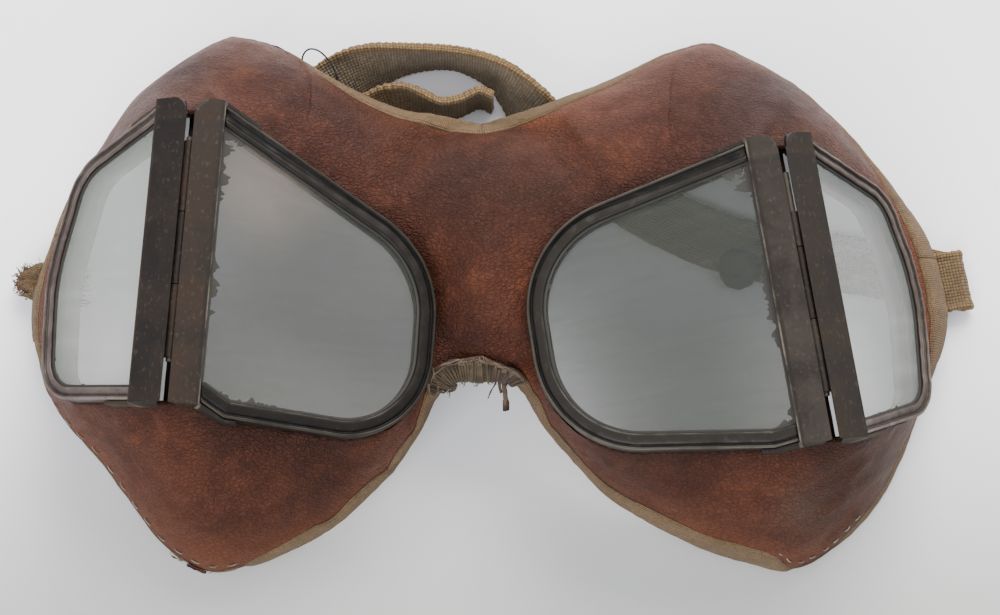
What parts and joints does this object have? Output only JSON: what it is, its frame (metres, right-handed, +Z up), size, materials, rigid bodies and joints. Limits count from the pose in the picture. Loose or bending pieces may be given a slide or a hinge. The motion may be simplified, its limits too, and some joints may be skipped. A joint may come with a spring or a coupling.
{
  "type": "aviator flying goggles",
  "caption": "Old flying goggles: a leather face mask with flat glass windows in metal channel frames, a hinged side window by each front one, taped edges and a worn webbing strap.",
  "frame": {"origin": "middle of the bounding box at its underside, on the surface that the mask lies on", "axes": "+X to the right as seen from above with the brow away from the viewer, +Y towards the brow, +Z up through the windows"},
  "size_m": [0.2027, 0.1187, 0.0443],
  "materials": {
    "frame_metal": "dark olive-bronze patina with worn, lighter edges",
    "bar_metal": "dark patina, scuffed, with lighter streaks",
    "clamp_metal": "dull, dark patina",
    "pin_metal": "worn bright wire",
    "front_glass": "hazy with age, faint green, specked with dust",
    "side_glass": "clear, lightly dusted",
    "glass_seal": "dark, dried out and crumbled at the corners",
    "mask_leather": "reddish brown, fine pebble grain, creased and scuffed",
    "lining_cloth": "thin woven cloth, soiled",
    "binding_tape": "khaki woven tape, frayed, with hand stitches",
    "thread": "waxed thread, uneven",
    "strap_webbing": "khaki knitted webbing, worn and fluffy",
    "patch_leather": "dark, hardened",
    "wire": "dark, thin, bent"
  },
  "bodies": {
    "mask": {"left_front_rim": "frame_metal", "left_front_glass": "front_glass", "left_front_seal": "glass_seal", "left_front_clamp_ring": "clamp_metal", "left_front_bar": "bar_metal", "left_hinge_pin": "pin_metal", "right_front_rim": "frame_metal", "right_front_glass": "front_glass", "right_front_seal": "glass_seal", "right_front_clamp_ring": "clamp_metal", "right_front_bar": "bar_metal", "right_hinge_pin": "pin_metal", "leather_mask": "mask_leather", "mask_lining": "lining_cloth", "brow_binding": "binding_tape", "left_cheek_binding": "binding_tape", "right_cheek_binding": "binding_tape", "nose_binding": "binding_tape", "nose_whipping": "thread", "strap": "strap_webbing", "strap_stub": "strap_webbing", "strap_patch": "patch_leather", "loose_wire": "wire"},
    "left_side_window": {"left_side_rim": "frame_metal", "left_side_glass": "side_glass", "left_side_seal": "glass_seal", "left_side_clamp_ring": "clamp_metal", "left_side_bar": "bar_metal"},
    "right_side_window": {"right_side_rim": "frame_metal", "right_side_glass": "side_glass", "right_side_seal": "glass_seal", "right_side_clamp_ring": "clamp_metal", "right_side_bar": "bar_metal"}
  },
  "joints": [
    {"name": "left_side_window_hinge", "type": "hinge", "parent": "mask", "child": "left_side_window", "pos_m": [-0.062, 0, 0.0425], "axis": [0.0645, 0.9979, 0], "range_deg": [-15, 15], "deforming": ["leather_mask", "mask_lining", "brow_binding", "left_cheek_binding"]},
    {"name": "right_side_window_hinge", "type": "hinge", "parent": "mask", "child": "right_side_window", "pos_m": [0.0608, -0.007, 0.0425], "axis": [0.1547, -0.988, 0], "range_deg": [-15, 15], "deforming": ["leather_mask", "mask_lining", "brow_binding", "right_cheek_binding"]}
  ]
}
